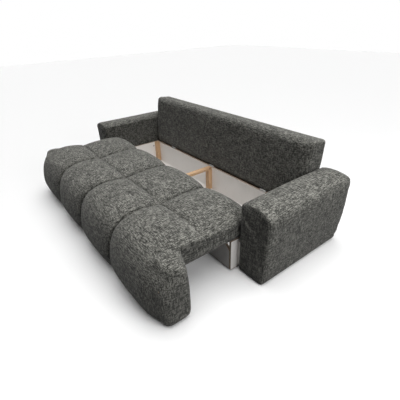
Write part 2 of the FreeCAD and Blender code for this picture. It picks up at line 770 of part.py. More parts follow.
def outer_steps(x0, x1, puffs, drops):
    wide = x1 - x0
    shares = (0.0, 0.06, 0.24, 0.55, 0.84, 0.96, 1.0)
    return [(x0 + wide * a, p, d) for a, p, d in zip(shares, puffs, drops)]


def seat_core():
    """Space in the padding for the seat frame and the roll's frame."""
    frame = box(-FRAME_HALF, FRAME_HALF, ROLL_CORE_FRONT, FRAME_REAR,
                SEAT_UNDER - 12, FRAME_TOP)
    roll = box(-ROLL_CORE_HALF, ROLL_CORE_HALF, ROLL_CORE_FRONT, ROLL_CORE_REAR,
               0, FRAME_TOP)
    return frame.fuse(roll)


def tuft(section, steps):
    return Part.makeLoft([section(*step) for step in steps], True, False)


def seat_pads(section, edge_puffs, edge_drops):
    """Four pads of a row, numbered from the left."""
    core = seat_core()
    inner = tuft(section, tuft_steps(0.0, COLUMN_SEAM)).cut(core)
    steps = outer_steps(COLUMN_SEAM, SEAT_HALF, edge_puffs, edge_drops)
    outer = tuft(section, steps).cut(core)
    return [mirrored(outer), mirrored(inner), inner, outer]


def roll_rear_pad():
    """Padding on the back of the roll, set in so that the box's front fits behind."""
    def at(y, z):
        return V(-SEAT_HALF, y + ARM_FRONT, z)

    top = at(ROLL_RECESS, SEAT_UNDER)
    foot = at(ROLL_CORE_REAR, ROLL_BOTTOM)
    begin, middle, end = rounded(at(ROLL_RECESS, ROLL_BOTTOM), top, foot,
                                 ROLL_REAR_PAD * 0.8)
    section = [foot, at(ROLL_CORE_REAR, SEAT_UNDER), top, begin, (middle, end), foot]
    return prism(section, V(2 * SEAT_HALF, 0, 0))


def roll_end():
    far = ROLL_HALF
    steps = ((SEAT_HALF, 0.0), (SEAT_HALF + 45, 3.0), (far - 40, 9.0),
             (far - 16, 24.0), (far - 4, 42.0), (far, 60.0))
    end = Part.makeLoft([end_section(x, inset) for x, inset in steps], True, False)
    return end.cut(seat_core())


# Seat frame

def seat_side_rail():
    return box(FRAME_HALF - FRAME_THICK, FRAME_HALF, ROLL_CORE_FRONT, FRAME_REAR,
               SEAT_UNDER, FRAME_TOP)


def seat_cross_rail(y0):
    reach = FRAME_HALF - FRAME_THICK
    return box(-reach, reach, y0, y0 + FRAME_THICK, SEAT_UNDER, FRAME_TOP)


def seat_stringers():
    """Rails along the depth, under the column seams."""
    half = FRAME_THICK / 2
    solids = []
    for x in (-COLUMN_SEAM, 0.0, COLUMN_SEAM):
        solids.append(box(x - half, x + half, MID_SEAM + FRAME_THICK,
                          FRAME_REAR - FRAME_THICK, SEAT_UNDER, FRAME_TOP))
        solids.append(box(x - half, x + half, ROLL_CORE_REAR + FRAME_THICK,
                          MID_SEAM, SEAT_UNDER, FRAME_TOP))
    return solids


def zigzag(x, y0, y1):
    """A zigzag spring between two cross rails, seated on their inner faces."""
    count = int((y1 - y0) / SPRING_PITCH)
    step = (y1 - y0) / count
    swing = SPRING_SWING / 2
    z = FRAME_TOP - 2 * SPRING_WIRE
    middle = [(x, y0)]
    for k in range(count):
        side = swing if k % 2 else -swing
        middle.append((x + side, y0 + step * (k + 0.5)))
    middle.append((x, y1))
    half = SPRING_WIRE * 0.7
    right = [V(a + half, b + ARM_FRONT, z) for a, b in middle]
    left = [V(a - half, b + ARM_FRONT, z) for a, b in reversed(middle)]
    corners = right + left + [right[0]]
    return Part.Face(Part.makePolygon(corners)).extrude(V(0, 0, SPRING_WIRE))


def seat_springs():
    solids = []
    bays = ((ROLL_CORE_REAR + FRAME_THICK, MID_SEAM),
            (MID_SEAM + FRAME_THICK, FRAME_REAR - FRAME_THICK))
    for y0, y1 in bays:
        for column in range(4):
            x0 = -2 * COLUMN_SEAM + column * COLUMN_SEAM
            for share in (0.33, 0.67):
                x = x0 + COLUMN_SEAM * share
                x = max(min(x, FRAME_HALF - 60), 60 - FRAME_HALF)
                solids.append(zigzag(x, y0, y1))
    return solids


def seat_lining():
    """Thin cloth stapled under the frame's rails, between the skirts."""
    return box(-FRAME_HALF, FRAME_HALF, ROLL_RECESS, FRAME_REAR,
               SEAT_UNDER - LINING, SEAT_UNDER)


def seat_glides():
    """Blocks that ride on the box's side rims and on its centre rail."""
    half = GLIDE_WIDTH / 2
    rim = (BOX_IN + BOX_OUT) / 2
    y1 = FRAME_REAR
    return [box(x - half, x + half, y1 - GLIDE_LENGTH, y1, RIM + FACE_GAP, SEAT_UNDER - LINING)
            for x in (-rim, 0.0, rim)]


# Roll frame and castors

def roll_base_board():
    return box(-ROLL_CORE_HALF, ROLL_CORE_HALF, ROLL_CORE_FRONT, ROLL_CORE_REAR,
               ROLL_BASE, ROLL_BASE + ROLL_BOARD)


def roll_front_board():
    return box(-ROLL_CORE_HALF, ROLL_CORE_HALF, ROLL_CORE_FRONT,
               ROLL_CORE_FRONT + ROLL_BOARD, ROLL_BASE + ROLL_BOARD, SEAT_UNDER)


def roll_ribs():
    end = ROLL_CORE_HALF - ROLL_BOARD
    y0 = ROLL_CORE_FRONT + ROLL_BOARD
    places = (-end, -COLUMN_SEAM, 0.0, COLUMN_SEAM, end)
    half = ROLL_BOARD / 2
    solids = []
    for x in places:
        x0 = max(min(x - half, ROLL_CORE_HALF - ROLL_BOARD), -ROLL_CORE_HALF)
        solids.append(box(x0, x0 + ROLL_BOARD, y0, ROLL_CORE_REAR,
                          ROLL_BASE + ROLL_BOARD, SEAT_UNDER))
    return solids


def castor_y():
    return (ROLL_CORE_FRONT + ROLL_CORE_REAR) / 2


def castor_places():
    first = -CASTOR_SPACING * (CASTOR_COUNT - 1) / 2
    return [first + CASTOR_SPACING * k for k in range(CASTOR_COUNT)]


def castor_fork(x):
    """Folded sheet: a plate under the board and a cheek on each side."""
    inside = WHEEL_WIDTH / 2 + WHEEL_SIDE_PLAY
    outside = inside + FORK_SHEET
    y = castor_y()
    plate = box(x - FORK_PLATE_HALF, x + FORK_PLATE_HALF, y - FORK_PLATE_DEPTH,
                y + FORK_PLATE_DEPTH, ROLL_BASE - FORK_SHEET, ROLL_BASE)

    def at(along, z):
        return V(0, y + ARM_FRONT + along, z)

    cheek = prism([
        at(-FORK_TOP, ROLL_BASE),
        at(FORK_TOP, ROLL_BASE),
        at(FORK_TIP, WHEEL_RADIUS),
        (at(0, WHEEL_RADIUS - FORK_TIP), at(-FORK_TIP, WHEEL_RADIUS)),
        at(-FORK_TOP, ROLL_BASE),
    ], V(FORK_SHEET, 0, 0))
    fork = plate
    for x0 in (x - outside, x + inside):
        fork = fork.fuse(cheek.translated(V(x0, 0, 0)))
    bore = rod(x - outside - 1, y, WHEEL_RADIUS, AXLE_RADIUS, 2 * outside + 2, V(1, 0, 0))
    return fork.cut(bore)


def castor_axle(x):
    """Rivet through the fork: plain shank with a flat head at each end."""
    outside = WHEEL_WIDTH / 2 + WHEEL_SIDE_PLAY + FORK_SHEET
    y = castor_y()
    axle = rod(x - outside, y, WHEEL_RADIUS, AXLE_RADIUS, 2 * outside, V(1, 0, 0))
    for x0 in (x - outside - AXLE_HEAD, x + outside):
        axle = axle.fuse(rod(x0, y, WHEEL_RADIUS, AXLE_RADIUS * 1.5, AXLE_HEAD, V(1, 0, 0)))
    return axle


def castor_wheel(x):
    """Turned wheel with rounded tread edges and a dished web."""
    half = WHEEL_WIDTH / 2
    soft = WHEEL_EDGE
    dish = WHEEL_DISH
    hub = AXLE_RADIUS + WHEEL_HUB
    rim = WHEEL_RADIUS - WHEEL_HUB
    bore = AXLE_RADIUS + AXLE_PLAY
    y = castor_y() + ARM_FRONT
    cut = soft * (1 - math.sqrt(0.5))

    def at(along, radius):
        return V(x + along, y, WHEEL_RADIUS + radius)

    section = [
        at(-half, bore),
        at(-half, hub - dish / 2),
        at(-half + dish, hub),
        at(-half + dish, rim),
        at(-half, rim + dish / 4),
        at(-half, WHEEL_RADIUS - soft),
        (at(-half + cut, WHEEL_RADIUS - cut), at(-half + soft, WHEEL_RADIUS)),
        at(half - soft, WHEEL_RADIUS),
        (at(half - cut, WHEEL_RADIUS - cut), at(half, WHEEL_RADIUS - soft)),
        at(half, rim + dish / 4),
        at(half - dish, rim),
        at(half - dish, hub),
        at(half, hub - dish / 2),
        at(half, bore),
        at(-half, bore),
    ]
    return Part.Face(outline(section)).revolve(V(x, y, WHEEL_RADIUS), V(1, 0, 0), 360)


def build_arms():
    covers = sides(lambda: arm_body().cut(arm_cavity()))
    panels = sides(arm_inner_panel)
    for side in ("left", "right"):
        save("arm_" + side + "_cover", covers[side])
        save("arm_" + side + "_inner_panel", panels[side])
    for place in ("top_rail", "base_board"):
        for side, board in sides(lambda: arm_board(place)).items():
            save("arm_" + side + "_" + place, board)
    ends = [sides(lambda: arm_board(place)) for place in ("front_board", "rear_board")]
    for side in ("left", "right"):
        save("arm_" + side + "_end_boards", *[end[side] for end in ends])
    feet = arm_glides()
    save("arm_glides", *feet, *[mirrored(f) for f in feet])
    spacer = arm_spacer()
    save("arm_spacers", spacer, mirrored(spacer))
    places = (BOLT_FRONT, BOLT_REAR)
    fixings = [make(y) for make in (arm_bolt, arm_nut) for y in places]
    save("arm_bolts_and_nuts", *fixings, *[mirrored(f) for f in fixings])


def build_box():
    for side, board in sides(box_side).items():
        save("box_" + side + "_side", board)
    save("box_front_board", box_front_board())
    save("box_rear_board", box_rear_board().cut(all_bores("box")))
    save("box_bottom", box_bottom())
    rear = corner_post(True)
    front = corner_post(False)
    save("box_corner_posts", rear, front, mirrored(rear), mirrored(front))
    save("centre_posts", centre_post(True), centre_post(False))
    save("centre_rail", centre_rail())
    save("box_screws", rail_screw(), *hinge_screws("box"))
    save("box_glides", *box_glides())
    save("plinth_back_board", plinth_back_board())
    save("plinth_ribs", *plinth_ribs())
    save("back_stops", *back_stops())


def build_back():
    save("back_pad", back_pad())
    save("back_bottom_rail", back_bottom_rail().cut(all_bores("back")))
    save("back_top_rail", back_top_rail())
    save("back_stiles", *back_stiles())
    save("hinge_box_leaves", *[box_leaf(x) for x in hinge_places()])
    save("hinge_back_leaves", *[back_leaf(x) for x in hinge_places()])
    save("hinge_pins", *[hinge_pin(x) for x in hinge_places()])
    save("hinge_back_screws", *hinge_screws("back"))


def build_seat():
    rear = seat_pads(rear_section, (0, 0.42, 0.86, 1.0, 0.72, 0.4, 0.2),
                     (0, 0, 0, 0, 6, 22, 40))
    front = seat_pads(front_section, (0, 0.42, 0.86, 1.0, 0.92, 0.86, 0.8),
                      (0, 0, 0, 0, 4, 14, 26))
    for number, pad in enumerate(rear, 1):
        save("seat_rear_tuft_" + str(number), pad)
    for number, pad in enumerate(front, 1):
        save("seat_front_tuft_" + str(number), pad)
    save("roll_rear_pad", roll_rear_pad())
    for side, end in sides(roll_end).items():
        save("roll_" + side + "_end", end)
    save("seat_side_rails", *sides(seat_side_rail).values())
    cross = (FRAME_REAR - FRAME_THICK, MID_SEAM, ROLL_CORE_REAR)
    save("seat_cross_rails", *[seat_cross_rail(y) for y in cross])
    save("seat_stringers", *seat_stringers())
    save("seat_springs", *seat_springs())
    save("seat_lining", seat_lining())
    save("seat_glides", *seat_glides())
    save("roll_base_board", roll_base_board())
    save("roll_front_board", roll_front_board())
    save("roll_ribs", *roll_ribs())
    places = castor_places()
    save("castor_forks", *[castor_fork(x) for x in places])
    save("castor_axles", *[castor_axle(x) for x in places])
    for number, x in enumerate(places, 1):
        save("castor_wheel_" + str(number), castor_wheel(x))


build_arms()
build_box()
build_back()
build_seat()
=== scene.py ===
import math

import bpy
import numpy as np
from mathutils import Matrix, Vector


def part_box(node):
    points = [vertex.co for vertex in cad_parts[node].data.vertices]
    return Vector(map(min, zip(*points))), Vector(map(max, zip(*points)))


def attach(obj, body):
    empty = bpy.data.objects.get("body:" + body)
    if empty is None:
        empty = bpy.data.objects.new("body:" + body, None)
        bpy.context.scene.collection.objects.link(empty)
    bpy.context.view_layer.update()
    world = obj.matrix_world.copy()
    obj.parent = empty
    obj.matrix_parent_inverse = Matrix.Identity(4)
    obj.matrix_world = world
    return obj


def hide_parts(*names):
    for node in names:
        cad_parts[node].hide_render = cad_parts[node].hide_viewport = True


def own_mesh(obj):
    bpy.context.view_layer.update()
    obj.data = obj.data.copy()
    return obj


# Sofa bed, pulled out, with its bedding box open. Metres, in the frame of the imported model.

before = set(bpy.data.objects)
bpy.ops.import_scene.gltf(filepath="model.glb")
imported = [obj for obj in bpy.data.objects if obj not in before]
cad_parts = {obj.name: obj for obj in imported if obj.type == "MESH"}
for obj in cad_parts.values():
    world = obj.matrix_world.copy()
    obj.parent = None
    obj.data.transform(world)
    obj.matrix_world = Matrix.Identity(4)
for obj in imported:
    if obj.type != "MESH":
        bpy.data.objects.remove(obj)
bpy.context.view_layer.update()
scene = bpy.context.scene

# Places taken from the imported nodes
ARM_LOW, ARM_HIGH = (Vector(c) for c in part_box("arm_right_cover"))
REAR_LOW, REAR_HIGH = (Vector(c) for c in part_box("seat_rear_tuft_4"))
END_LOW, END_HIGH = (Vector(c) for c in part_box("roll_right_end"))
BOARD_LOW, BOARD_HIGH = (Vector(c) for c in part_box("roll_base_board"))
PAD_HIGH = Vector(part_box("roll_rear_pad")[1])
BACK_HIGH = Vector(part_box("back_pad")[1])

COLUMN = REAR_LOW.x             # outer column seams, from the middle
MID_SEAM = REAR_LOW.y           # seam between the two rows of tufts
SEAT_HALF = REAR_HIGH.x
SEAT_REAR = REAR_HIGH.y
SEAT_UNDER = REAR_LOW.z
ROLL_END_REAR = END_HIGH.y
ROLL_FOOT = END_LOW.z
RECESS = PAD_HIGH.y             # back of the roll, between its free ends

# Upholstery sizes
COVER_UNDER = SEAT_UNDER - 0.011    # the seat cover's stapled edge, over the box's rim
ROLL_TIP = 1.119                # tip of the roll's free ends
CAVITY_PLAY = 0.012             # room over the roll's base board
SEAM_HEIGHT = 0.386
SEAM_ZONE = 0.045               # how far under that height the seam between the rows runs
TUFT_RISE = 0.041               # crown of a tuft above its seams
SEAM_ARCH = 0.025               # the part of it that the row's seam takes too
ARM_GROWTH = 0.0035             # how far a cover stands proud of its solid
BACK_GROWTH = 0.0080
GROOVE = 0.0100                 # depth of the sewn groove in the bottom of a valley
GROOVE_HALF = 0.0105
SEAT_ARM_PLAY = 0.005           # the seat's sides along the arms, past the solids' half width
BACK_ARM_PLAY = 0.003
ARM_FACE_PLAY = 0.0005          # how far an arm's inner face may stand proud
FLOOR_PLAY = 0.004              # lowest edge of the arms' covers

# Zones of the seat's cover, for its skin, its seams and its cloth
TOP_LOWEST = 0.28               # lowest level face of a tuft
REAR_DEPTH = 0.03               # the seat's rear face
REAR_FOOT = 0.01                # the rear skin begins this far above the seat's underside
FRONT_REACH = 0.20              # the roll's front begins this far ahead of the rows' seam
SKIN_FOOT = 0.004               # the roll's skin begins this far above its foot
FOOT_ZONE = 0.012               # the edge that is stapled under the roll
ROW_SEAM_LOWEST = 0.36
SIDE_DEPTH = 0.02               # the mattress's sides, along the arms
SIDE_OVERLAP = 0.03             # how far they reach into the roll's free ends
END_LOWEST = 0.03               # the free ends' cloth is loose above this height
PARKED_DEPTH = 0.01             # the free ends' rear faces, which park before the arms
STAPLE_DEPTH = 0.004            # the stapled edge, ahead of the roll's back
STAPLE_HEIGHT = 0.003
STAPLE_SIDE = 0.005
BACK_WALL_DEPTH = 0.012         # the roll's back, from the base board's rear edge
BACK_WALL_SIDE = 0.004
GROOVE_END = 0.012              # the rows' groove stops this far from the seat's sides

# Hollow for the timber in an arm's cover, from the sides of the cover's box
HOLLOW_INNER = 0.018
HOLLOW_OUTER = 0.180            # from the inner side as well
HOLLOW_FRONT = 0.020
HOLLOW_REAR = 0.075
HOLLOW_TOP = 0.060

# Meshes and cloth
SEAT_MESH = 0.012
ARM_MESH = 0.0115
BACK_MESH = 0.0125
SEAT_RELAX = 9
PAD_RELAX = 2
SEAT_PRESSURE = 3.5
PAD_PRESSURE = 2.5
SEAT_CAP = 0.008                # how far the cloth may move a point
PAD_CAP = 0.005
ON_SEAM = 0.002                 # a point this close to a seam is sewn

# Materials
UPRIGHT_PAINTED_SHADE = 0.62            # painted shade: colour scale on upright faces, against level ones
BOARD_WHITE = (0.92, 0.89, 0.86)
HARDBOARD_WHITE = (0.86, 0.835, 0.81)

# Camera, solved from the photograph's straight edges
CAMERA_PLACE = (2.10878, -1.19108, 1.43929)
CAMERA_AZIMUTH = 53.4001
CAMERA_ELEVATION = 30.0069
CAMERA_ROLL = -1.9412
CAMERA_LENS = 28.064
SENSOR = 36.0


# Mesh helpers

def smoothstep(low, high, value):
    t = np.clip((value - low) / (high - low), 0.0, 1.0)
    return t * t * (3.0 - 2.0 * t)


def swell(share):
    """Height of a stuffed channel: 0 at its seams, steep there, 1 in the middle."""
    flatness = 2.6
    steepness = 0.59
    share = np.clip(share, 0.0, 1.0)
    return (1.0 - np.abs(2.0 * share - 1.0) ** flatness) ** steepness


def get_points(obj):
    points = np.empty(len(obj.data.vertices) * 3)
    obj.data.vertices.foreach_get("co", points)
    return points.reshape(-1, 3)


def set_points(obj, points):
    obj.data.vertices.foreach_set("co", points.ravel())
    obj.data.update()


def get_normals(obj):
    normals = np.empty(len(obj.data.vertices) * 3)
    obj.data.vertex_normals.foreach_get("vector", normals)
    return normals.reshape(-1, 3)


def make_object(name, vertices, faces):
    mesh = bpy.data.meshes.new(name)
    mesh.from_pydata([tuple(v) for v in vertices], [], [tuple(f) for f in faces])
    obj = bpy.data.objects.new(name, mesh)
    scene.collection.objects.link(obj)
    return obj


def loft(name, sections):
    """Closed solid through sections of equal point count, capped at both ends."""
    count = len(sections[0])
    vertices = [p for section in sections for p in section]
    faces = []
    for k in range(len(sections) - 1):
        for i in range(count):
            j = (i + 1) % count
            faces.append((k * count + i, k * count + j,
                          (k + 1) * count + j, (k + 1) * count + i))
    last = (len(sections) - 1) * count
    faces.append(tuple(range(count - 1, -1, -1)))
    faces.append(tuple(range(last, last + count)))
    return make_object(name, vertices, faces)


def curve_through(points, steps):
    """Smooth line through a few points, each stretch cut into steps."""
    pts = np.array(points)
    ahead = np.vstack([2 * pts[0] - pts[1], pts, 2 * pts[-1] - pts[-2]])
    line = []
    for k in range(1, len(ahead) - 2):
        a, b, c, d = ahead[k - 1:k + 3]
        for t in np.arange(steps) / steps:
            line.append(0.5 * (2 * b + (c - a) * t + (2 * a - 5 * b + 4 * c - d) * t ** 2
                               + (3 * b - a - 3 * c + d) * t ** 3))
    line.append(pts[-1])
    return np.array(line)


def apply_modifiers(obj):
    seen = obj.evaluated_get(bpy.context.evaluated_depsgraph_get())
    mesh = bpy.data.meshes.new_from_object(seen)
    obj.modifiers.clear()
    old = obj.data
    obj.data = mesh
    bpy.data.meshes.remove(old)


def remesh(obj, size):
    modifier = obj.modifiers.new("remesh", "REMESH")
    modifier.mode = "VOXEL"
    modifier.voxel_size = size
    apply_modifiers(obj)


def subdivide(obj):
    modifier = obj.modifiers.new("subdivide", "SUBSURF")
    modifier.levels = 1
    modifier.render_levels = 1
    apply_modifiers(obj)


def relax(obj, rounds, share=0.5, kept=None):
    """Moves each point towards the middle of its neighbours, apart from the kept ones."""
    edges = obj.data.edges
    start = get_points(obj)
    points = start.copy()
    ends = np.empty(len(edges) * 2, dtype=np.int64)
    edges.foreach_get("vertices", ends)
    a, b = ends.reshape(-1, 2).T
    degree = np.bincount(np.concatenate([a, b]), minlength=len(points))[:, None]
    for _ in range(rounds):
        total = np.zeros_like(points)
        for axis in range(3):
            total[:, axis] = (np.bincount(a, points[b, axis], len(points))
                              + np.bincount(b, points[a, axis], len(points)))
        points += share * (total / np.maximum(degree, 1) - points)
        if kept is not None:
            points[kept] = start[kept]
    set_points(obj, points)


def grow(obj, reach):
    set_points(obj, get_points(obj) + get_normals(obj) * reach)


def inflate(obj, held, pressure, cap, frames=20):
    """Cloth under pressure, held where it is sewn or stapled. A point moves at most by cap."""
    start = get_points(obj)
    group = obj.vertex_groups.new(name="held")
    group.add([int(i) for i in np.flatnonzero(held)], 1.0, "REPLACE")
    modifier = obj.modifiers.new("cloth", "CLOTH")
    settings = modifier.settings
    settings.quality = 4
    settings.mass = 0.3
    settings.tension_stiffness = 12.0
    settings.compression_stiffness = 12.0
    settings.shear_stiffness = 5.0
    settings.bending_stiffness = 0.6
    settings.use_pressure = True
    settings.uniform_pressure_force = pressure
    settings.vertex_group_mass = "held"
    settings.effector_weights.gravity = 0.0
    modifier.collision_settings.use_collision = False
    modifier.collision_settings.use_self_collision = False
    modifier.point_cache.frame_start = 1
    modifier.point_cache.frame_end = frames
    for number in range(1, frames + 1):
        scene.frame_set(number)
    seen = obj.evaluated_get(bpy.context.evaluated_depsgraph_get())
    blown = np.empty(len(start) * 3)
    seen.data.vertices.foreach_get("co", blown)
    move = blown.reshape(-1, 3) - start
    length = np.linalg.norm(move, axis=1)[:, None]
    move *= np.minimum(1.0, cap / np.maximum(length, 1e-9))
    move[held] = 0.0
    obj.modifiers.clear()
    obj.vertex_groups.clear()
    set_points(obj, start + move)
    scene.frame_set(1)


def split(obj, labels, names):
    """One object per label. Faces with a label of -1 are left out."""
    mesh = obj.data
    points = get_points(obj)
    faces = [tuple(p.vertices) for p in mesh.polygons]
    made = {}
    for label, name in enumerate(names):
        mine = [f for f, mark in zip(faces, labels) if mark == label]
        if not mine:
            continue
        used = sorted({i for f in mine for i in f})
        place = {old: new for new, old in enumerate(used)}
        made[name] = make_object(name, points[used], [[place[i] for i in f] for f in mine])
    bpy.data.objects.remove(obj)
    return made


def face_middles(obj):
    middles = np.empty(len(obj.data.polygons) * 3)
    obj.data.polygons.foreach_get("center", middles)
    return middles.reshape(-1, 3)


def face_normals(obj):
    normals = np.empty(len(obj.data.polygons) * 3)
    obj.data.polygons.foreach_get("normal", normals)
    return normals.reshape(-1, 3)


def shade_smooth(obj):
    obj.data.polygons.foreach_set("use_smooth", np.ones(len(obj.data.polygons), dtype=bool))
    obj.data.update()


def copy_of(node, name):
    """A copy of a CAD solid to start a soft piece from."""
    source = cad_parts[node]
    obj = bpy.data.objects.new(name, source.data.copy())
    obj.data.materials.clear()
    scene.collection.objects.link(obj)
    return obj


# Materials

def new_material(name):
    material = bpy.data.materials.new(name)
    material.use_nodes = True
    tree = material.node_tree
    shader = tree.nodes["Principled BSDF"]
    return material, tree, shader


def add(tree, kind, inputs=None, **settings):
    made = tree.nodes.new("ShaderNode" + kind)
    for key, value in settings.items():
        setattr(made, key, value)
    for key, value in (inputs or {}).items():
        if isinstance(value, bpy.types.NodeSocket):
            tree.links.new(value, made.inputs[key])
        else:
            made.inputs[key].default_value = value
    return made


def place_in(tree, scale):
    """Object coordinates, scaled along each axis."""
    place = add(tree, "TexCoord").outputs["Object"]
    return add(tree, "Mapping", {"Vector": place, "Scale": scale}).outputs["Vector"]


def noise(tree, scale, detail=2.0, stretch=(1.0, 1.0, 1.0), rough=0.5):
    return add(tree, "TexNoise", {"Vector": place_in(tree, stretch), "Scale": scale,
                                  "Detail": detail, "Roughness": rough}).outputs["Fac"]


def math_node(tree, operation, first, second=0.0, third=0.0):
    return add(tree, "Math", {0: first, 1: second, 2: third}, operation=operation).outputs[0]


def spread(tree, value, low, high, to_low=0.0, to_high=1.0):
    return add(tree, "MapRange", {"Value": value, "From Min": low, "From Max": high,
                                  "To Min": to_low, "To Max": to_high}).outputs["Result"]


def mix_colour(tree, factor, first, second):
    made = tree.nodes.new("ShaderNodeMix")
    made.data_type = "RGBA"
    for index, value in ((0, factor), (6, first), (7, second)):
        if isinstance(value, bpy.types.NodeSocket):
            tree.links.new(value, made.inputs[index])
        elif index == 0:
            made.inputs[0].default_value = value
        else:
            made.inputs[index].default_value = (*value, 1.0)
    return made.outputs[2]


def bump(tree, shader, height, distance, strength=1.0):
    made = add(tree, "Bump", {"Height": height, "Distance": distance, "Strength": strength})
    tree.links.new(made.outputs["Normal"], shader.inputs["Normal"])


def weave(tree, across, along):
    """Crossing yarns. On each face only the yarns that lie in it count."""
    normal = add(tree, "TexCoord").outputs["Normal"]
    parts = add(tree, "SeparateXYZ", {"Vector": normal}).outputs
    total = 0.0
    for axis in range(3):
        stretch = tuple(along if k == axis else across for k in range(3))
        yarn = noise(tree, 1.0, 1.5, stretch)
        lying = math_node(tree, "MULTIPLY_ADD", parts[axis],
                          math_node(tree, "MULTIPLY", parts[axis], -0.5), 0.5)
        total = math_node(tree, "MULTIPLY_ADD", yarn, lying, total)
    return total


def chenille():
    """Melange chenille: dark and pale yarns crossing, with slubs and paler patches, and painted
    shade that darkens upright faces.
    """
    material, tree, shader = new_material("chenille_melange")
    slubs = spread(tree, weave(tree, 195.0, 29.0), 0.40, 0.60)
    yarns = spread(tree, weave(tree, 340.0, 66.0), 0.39, 0.61)
    nubs = add(tree, "TexVoronoi", {"Vector": place_in(tree, (1.0, 1.0, 1.0)), "Scale": 170.0,
                                    "Randomness": 0.95}, distance="CHEBYCHEV")
    fleck = add(tree, "SeparateColor", {"Color": nubs.outputs["Color"]}).outputs[0]
    patch = spread(tree, noise(tree, 17.0, 3.0, rough=0.6), 0.3, 0.7)
    tone = math_node(tree, "MULTIPLY", slubs, 0.46)
    for part, share in ((yarns, 0.30), (fleck, 0.10), (patch, 0.14)):
        tone = math_node(tree, "MULTIPLY_ADD", part, share, tone)
    ramp = add(tree, "ValToRGB", {"Fac": tone})
    steps = ramp.color_ramp
    steps.elements[0].position = 0.18
    steps.elements[0].color = (0.016, 0.016, 0.014, 1.0)
    steps.elements[1].position = 0.86
    steps.elements[1].color = (0.375, 0.370, 0.334, 1.0)
    middle = steps.elements.new(0.50)
    middle.color = (0.112, 0.111, 0.099, 1.0)
    # Painted shade: upright faces get a darker colour than level ones, by the world normal
    upward = add(tree, "SeparateXYZ", {"Vector": add(tree, "NewGeometry").outputs["Normal"]})
    painted_shade = spread(tree, upward.outputs[2], 0.0, 0.8, UPRIGHT_PAINTED_SHADE, 1.0)
    shade = add(tree, "VectorMath", {0: ramp.outputs["Color"], "Scale": painted_shade}, operation="SCALE")
    tree.links.new(shade.outputs[0], shader.inputs["Base Color"])
    rough = spread(tree, fleck, 0.0, 1.0, 0.86, 1.0)
    tree.links.new(rough, shader.inputs["Roughness"])
    shader.inputs["Specular IOR Level"].default_value = 0.18
    shader.inputs["Sheen Weight"].default_value = 0.10
    shader.inputs["Sheen Roughness"].default_value = 0.55
    height = math_node(tree, "MULTIPLY_ADD", yarns, 0.6,
                       math_node(tree, "MULTIPLY", slubs, 0.6))
    height = math_node(tree, "MULTIPLY_ADD", nubs.outputs["Distance"], -0.4, height)
    bump(tree, shader, height, 0.0020, 0.8)
    return material


def raw_edge_mask(tree, axis):
    """1 on the edges of a board whose faces look along the axis."""
    normal = add(tree, "NewGeometry").outputs["True Normal"]
    parts = add(tree, "SeparateXYZ", {"Vector": normal}).outputs
    facing = math_node(tree, "ABSOLUTE", parts[axis])
    return spread(tree, facing, 0.45, 0.55, 1.0, 0.0)


def flecks(tree, scale, dark, light):
    cells = add(tree, "TexVoronoi", {"Vector": place_in(tree, (1.0, 1.0, 1.0)),
                                     "Scale": scale}, distance="MANHATTAN")
    tone = add(tree, "SeparateColor", {"Color": cells.outputs["Color"]}).outputs[1]
    return mix_colour(tree, tone, dark, light), tone


def laminate(name, axis, face, scuff=0.03):
    """Pale laminate on a board, with raw brown edges and faint scuffs."""
    material, tree, shader = new_material(name)
    cloud = noise(tree, 6.0, 4.0, rough=0.6)
    scuffs = spread(tree, noise(tree, 60.0, 3.0, (1.0, 1.0, 0.25)), 0.62, 0.75)
    shade = mix_colour(tree, math_node(tree, "MULTIPLY", cloud, 0.25), face,
                       tuple(c * 0.82 for c in face))
    shade = mix_colour(tree, math_node(tree, "MULTIPLY", scuffs, scuff * 4), shade,
                       (0.36, 0.33, 0.30))
    raw, grit = flecks(tree, 420.0, (0.30, 0.215, 0.155), (0.52, 0.41, 0.32))
    edge = raw_edge_mask(tree, axis)
    tree.links.new(mix_colour(tree, edge, shade, raw), shader.inputs["Base Color"])
    rough = math_node(tree, "ADD", spread(tree, cloud, 0.3, 0.7, 0.34, 0.44),
                      math_node(tree, "MULTIPLY", edge, 0.4))
    tree.links.new(rough, shader.inputs["Roughness"])
    height = math_node(tree, "ADD", math_node(tree, "MULTIPLY", grit, edge),
                       math_node(tree, "MULTIPLY", cloud, 0.1))
    bump(tree, shader, height, 0.0008, 0.6)
    return material


def pine(name, axis):
    """Planed pine, its grain along one axis."""
    material, tree, shader = new_material(name)
    stretch = tuple(0.06 if k == axis else 1.0 for k in range(3))
    rings = noise(tree, 55.0, 3.0, stretch, 0.55)
    fibre = noise(tree, 420.0, 2.0, stretch)
    bands = spread(tree, math_node(tree, "FRACT", math_node(tree, "MULTIPLY", rings, 6.0)),
                   0.1, 0.95)
    shade = mix_colour(tree, bands, (0.66, 0.43, 0.25), (0.47, 0.27, 0.135))
    knots = spread(tree, noise(tree, 9.0, 2.0), 0.70, 0.78)
    shade = mix_colour(tree, knots, shade, (0.25, 0.12, 0.055))
    shade = mix_colour(tree, math_node(tree, "MULTIPLY", fibre, 0.35), shade, (0.74, 0.53, 0.34))
    tree.links.new(shade, shader.inputs["Base Color"])
    tree.links.new(spread(tree, fibre, 0.3, 0.7, 0.55, 0.72), shader.inputs["Roughness"])
    bump(tree, shader, math_node(tree, "ADD", fibre, bands), 0.0004, 0.5)
    return material


def chipboard():
    material, tree, shader = new_material("raw_chipboard")
    coarse, grit = flecks(tree, 160.0, (0.30, 0.205, 0.12), (0.60, 0.45, 0.29))
    fine, dust = flecks(tree, 520.0, (0.24, 0.16, 0.09), (0.66, 0.50, 0.33))
    tree.links.new(mix_colour(tree, 0.45, coarse, fine), shader.inputs["Base Color"])
    tree.links.new(spread(tree, grit, 0.0, 1.0, 0.7, 0.85), shader.inputs["Roughness"])
    bump(tree, shader, math_node(tree, "ADD", grit, dust), 0.0006, 0.6)
    return material


